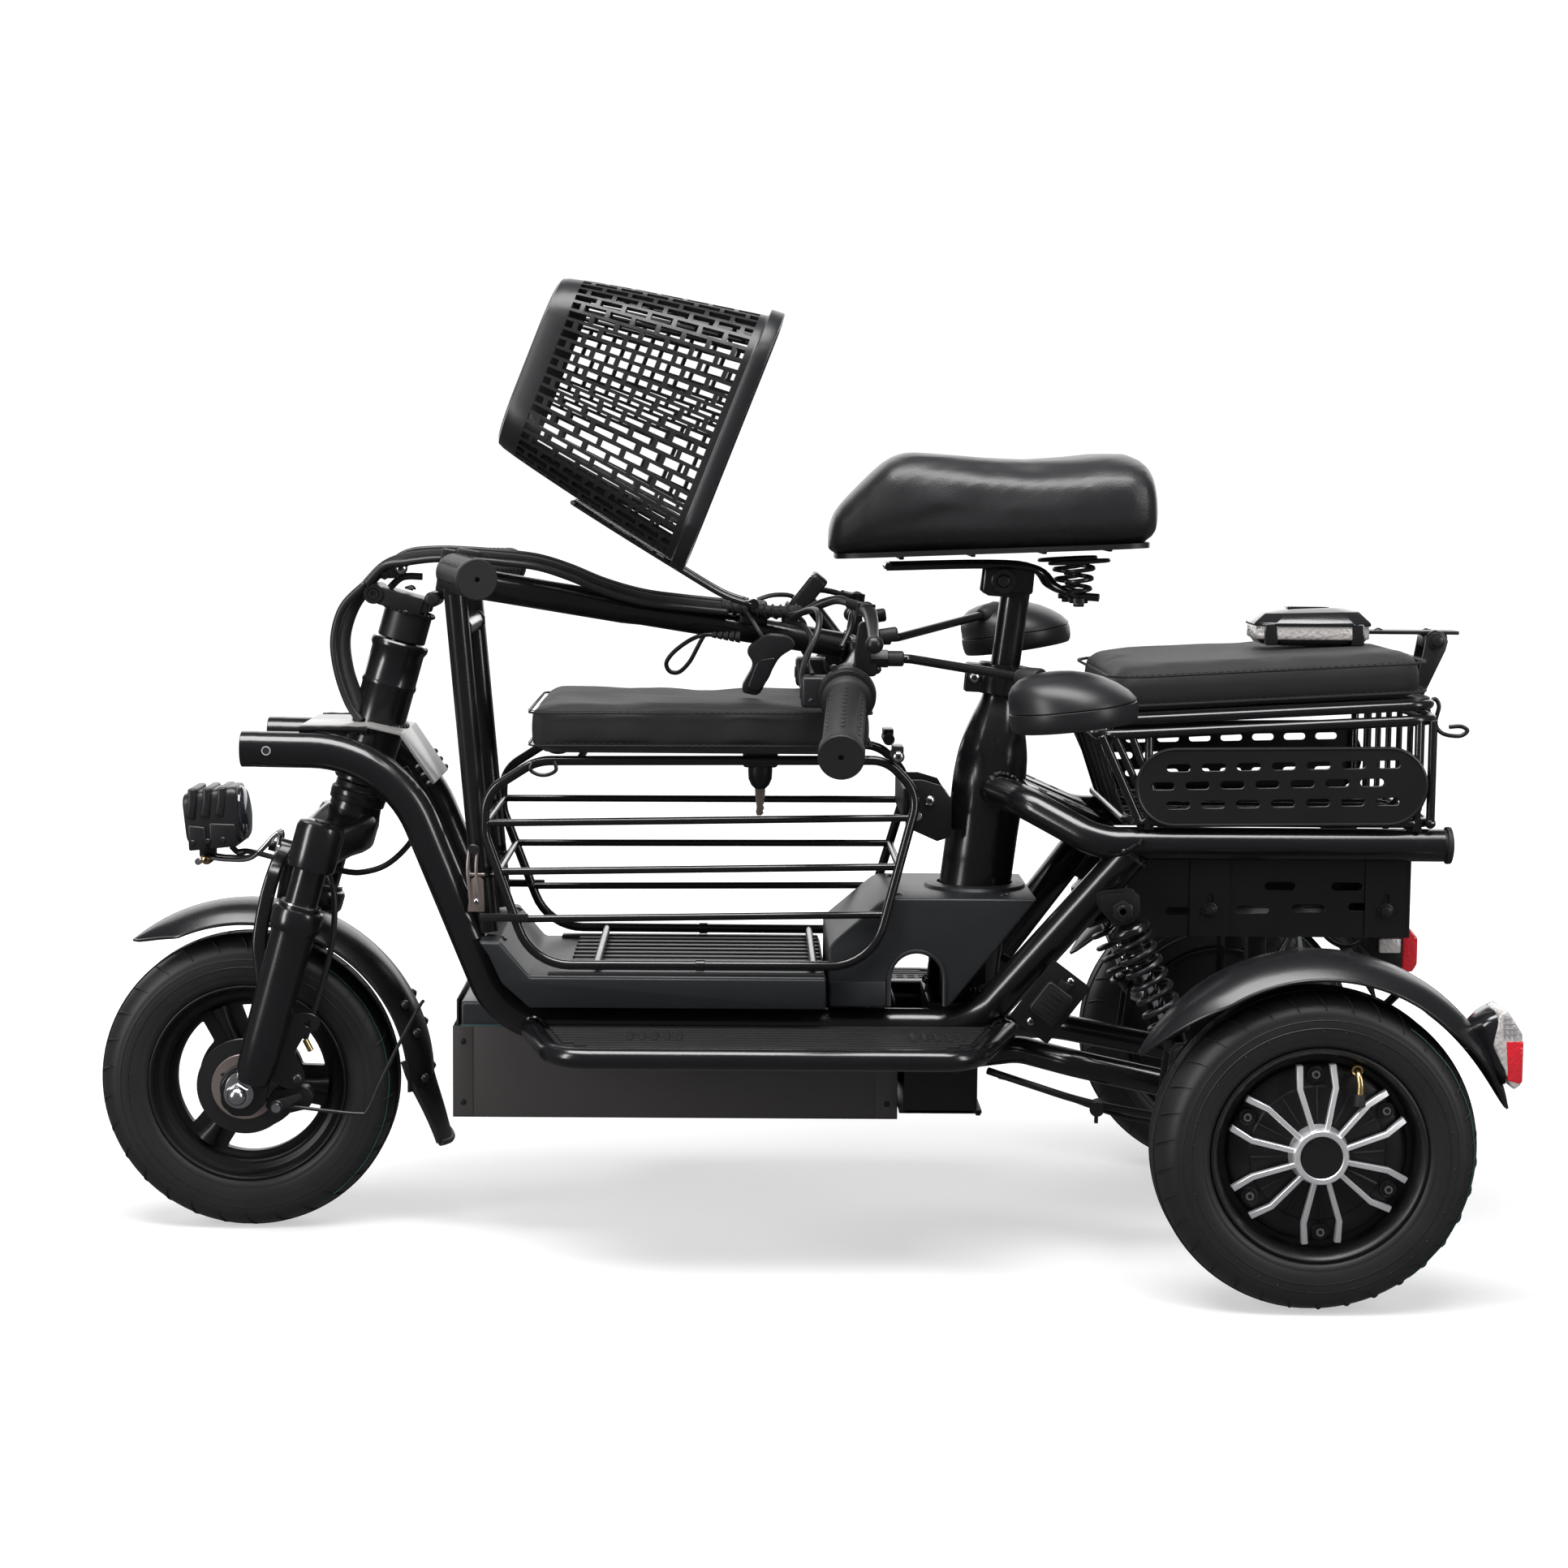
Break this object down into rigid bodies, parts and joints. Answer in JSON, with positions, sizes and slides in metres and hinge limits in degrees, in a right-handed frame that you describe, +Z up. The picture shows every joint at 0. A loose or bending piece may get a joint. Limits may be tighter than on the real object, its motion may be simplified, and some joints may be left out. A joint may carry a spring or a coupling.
{
  "type": "adult tricycle",
  "caption": "Folded electric tricycle: tubular step-through frame, sprung fork and rear axle, child seat cage, folding handlebar column with basket, padded saddle and rear carrier.",
  "frame": {"origin": "on the ground, under the middle of the whole object", "axes": "+X towards the rear, +Y to the rider's right, +Z up; the front wheel is at -X"},
  "size_m": [1.156, 0.5956, 0.8058],
  "materials": {
    "gloss_black_paint": "gloss black powder coat",
    "matte_black_paint": "matte black powder coat",
    "black_alloy": "satin black",
    "black_plastic": "fine textured black",
    "gloss_black_plastic": "gloss black",
    "black_rubber": "matte black",
    "tyre_rubber": "matte black tread",
    "saddle_vinyl": "semi-matte black vinyl",
    "cover_cloth": "black coated cloth",
    "bright_steel": "polished",
    "red_lens": "clear red",
    "battery_wrap": "teal shrink wrap"
  },
  "bodies": {
    "frame": {"main_tube_left": "gloss_black_paint", "main_tube_right": "gloss_black_paint", "rear_rail_left": "gloss_black_paint", "rear_rail_right": "gloss_black_paint", "seat_tube": "gloss_black_paint", "head_tube": "gloss_black_paint", "seat_clamp": "matte_black_paint", "swing_bracket": "matte_black_paint", "floor_deck": "black_plastic", "hump_cover": "black_plastic", "battery_box": "matte_black_paint", "battery_pack": "battery_wrap", "foot_rest_left": "black_rubber", "foot_rest_right": "black_rubber", "charge_port": "black_plastic", "child_handle": "gloss_black_paint", "child_seat_frame": "gloss_black_paint", "child_cushion": "cover_cloth", "rack_box": "matte_black_paint", "brake_lamp": "red_lens", "rear_basket": "gloss_black_paint"},
    "steering": {"fork_crown": "gloss_black_paint", "fold_base": "matte_black_paint"},
    "fork_lowers": {"fork_lowers": "gloss_black_paint", "front_fender": "black_plastic"},
    "headlight": {"headlight": "black_plastic"},
    "front_wheel": {"front_rim": "black_alloy", "front_tyre": "tyre_rubber"},
    "column": {"column_tube": "gloss_black_paint", "front_basket": "black_plastic", "handlebar": "gloss_black_paint", "control_left": "black_plastic", "control_right": "black_plastic", "grip_right": "black_rubber"},
    "throttle": {"throttle_grip": "black_rubber"},
    "brake_lever_left": {"brake_lever_left": "black_alloy"},
    "brake_lever_right": {"brake_lever_right": "black_alloy"},
    "mirror_left": {"mirror_left": "gloss_black_plastic"},
    "mirror_right": {"mirror_right": "gloss_black_plastic"},
    "seat": {"seat_post": "gloss_black_paint", "saddle": "saddle_vinyl"},
    "rear_axle": {"swing_arm": "gloss_black_paint", "rear_fender_left": "black_plastic", "rear_fender_right": "black_plastic", "tail_light_left": "red_lens", "tail_light_right": "red_lens"},
    "rear_wheel_left": {"hub_motor_left": "black_alloy", "rear_tyre_left": "tyre_rubber"},
    "rear_wheel_right": {"hub_motor_right": "black_alloy", "rear_tyre_right": "tyre_rubber"},
    "shock_upper_left": {"shock_body_left": "gloss_black_paint", "shock_spring_left": "gloss_black_paint"},
    "shock_upper_right": {"shock_body_right": "gloss_black_paint", "shock_spring_right": "gloss_black_paint"},
    "shock_lower_left": {"shock_rod_left": "black_alloy"},
    "shock_lower_right": {"shock_rod_right": "black_alloy"},
    "lid": {"lid_board": "matte_black_paint", "rear_cushion": "cover_cloth"},
    "lamp": {"lamp_arm": "gloss_black_plastic"},
    "latch": {"toggle_latch": "bright_steel"}
  },
  "joints": [
    {"name": "steering", "type": "hinge", "parent": "frame", "child": "steering", "pos_m": [-0.355, 0, 0.384], "axis": [0.2672, 0, 0.9636], "range_deg": [-1.5, 1.5]},
    {"name": "fork_travel", "type": "slide", "parent": "steering", "child": "fork_lowers", "axis": [0.2672, 0, 0.9636], "range_m": [0, 0.02], "stiffness_N_per_m": 6000, "springref_m": -0.02},
    {"name": "front_wheel_spin", "type": "hinge", "parent": "fork_lowers", "child": "front_wheel", "pos_m": [-0.451, 0, 0.127], "axis": [0, 1, 0], "continuous": true},
    {"name": "headlight_tilt", "type": "hinge", "parent": "fork_lowers", "child": "headlight", "pos_m": [-0.487, 0, 0.317], "axis": [0, 1, 0], "range_deg": [-15, 6]},
    {"name": "column_fold", "type": "hinge", "parent": "steering", "child": "column", "pos_m": [-0.293, 0, 0.5405], "axis": [0, -1, 0], "range_deg": [0, 9.5]},
    {"name": "throttle_twist", "type": "hinge", "parent": "column", "child": "throttle", "pos_m": [0.0565, -0.095, 0.482], "axis": [-0.0598, -0.9715, -0.2292], "range_deg": [0, 70], "stiffness_Nm_per_rad": 0.4, "springref_deg": -17.19},
    {"name": "brake_pull_left", "type": "hinge", "parent": "column", "child": "brake_lever_left", "pos_m": [0.0692, -0.105, 0.5385], "axis": [0.9533, 0, -0.3021], "range_deg": [0, 18], "stiffness_Nm_per_rad": 1.5, "springref_deg": -11.46},
    {"name": "brake_pull_right", "type": "hinge", "parent": "column", "child": "brake_lever_right", "pos_m": [0.0692, 0.105, 0.5385], "axis": [-0.9533, 0, 0.3021], "range_deg": [0, 18], "stiffness_Nm_per_rad": 1.5, "springref_deg": -11.46},
    {"name": "mirror_turn_left", "type": "hinge", "parent": "column", "child": "mirror_left", "pos_m": [0.199, -0.205, 0.4895], "axis": [0, 0, 1], "range_deg": [-10, 10]},
    {"name": "mirror_turn_right", "type": "hinge", "parent": "column", "child": "mirror_right", "pos_m": [0.199, 0.205, 0.523], "axis": [0, 0, 1], "range_deg": [-10, 10]},
    {"name": "seat_height", "type": "slide", "parent": "frame", "child": "seat", "axis": [0.1219, 0, 0.9925], "range_m": [0, 0.09]},
    {"name": "suspension", "type": "hinge", "parent": "frame", "child": "rear_axle", "pos_m": [0.151, 0, 0.156], "axis": [0, -1, 0], "range_deg": [0, 8], "stiffness_Nm_per_rad": 900, "springref_deg": -4.58},
    {"name": "rear_wheel_spin_left", "type": "hinge", "parent": "rear_axle", "child": "rear_wheel_left", "pos_m": [0.419, -0.248, 0.127], "axis": [0, 1, 0], "continuous": true},
    {"name": "rear_wheel_spin_right", "type": "hinge", "parent": "rear_axle", "child": "rear_wheel_right", "pos_m": [0.419, 0.248, 0.127], "axis": [0, 1, 0], "continuous": true},
    {"name": "shock_swing_left", "type": "hinge", "parent": "frame", "child": "shock_upper_left", "pos_m": [0.278, -0.14, 0.299], "axis": [0, -1, 0], "range_deg": [0, 2.7]},
    {"name": "shock_swing_right", "type": "hinge", "parent": "frame", "child": "shock_upper_right", "pos_m": [0.278, 0.14, 0.299], "axis": [0, -1, 0], "range_deg": [0, 2.7]},
    {"name": "shock_travel_left", "type": "slide", "parent": "shock_upper_left", "child": "shock_lower_left", "axis": [-0.393, 0, 0.9196], "range_m": [0, 0.0246], "deforming": ["shock_spring_left"]},
    {"name": "shock_travel_right", "type": "slide", "parent": "shock_upper_right", "child": "shock_lower_right", "axis": [-0.393, 0, 0.9196], "range_m": [0, 0.0246], "deforming": ["shock_spring_right"]},
    {"name": "lid_open", "type": "hinge", "parent": "frame", "child": "lid", "pos_m": [0.256, 0, 0.4475], "axis": [0, -1, 0], "range_deg": [0, 40]},
    {"name": "lamp_fold", "type": "hinge", "parent": "lid", "child": "lamp", "pos_m": [0.558, 0, 0.512], "axis": [0, 1, 0], "range_deg": [0, 90]},
    {"name": "latch_swing", "type": "hinge", "parent": "frame", "child": "latch", "pos_m": [-0.252, -0.0905, 0.338], "axis": [-1, 0, 0], "range_deg": [0, 90]}
  ],
  "couplings": [
    {"joint": "shock_swing_left", "follows": "suspension", "ratio": 0.325},
    {"joint": "shock_swing_right", "follows": "suspension", "ratio": 0.325},
    {"joint": "shock_travel_left", "follows": "suspension", "m_per_rad": 0.1748},
    {"joint": "shock_travel_right", "follows": "suspension", "m_per_rad": 0.1748}
  ]
}
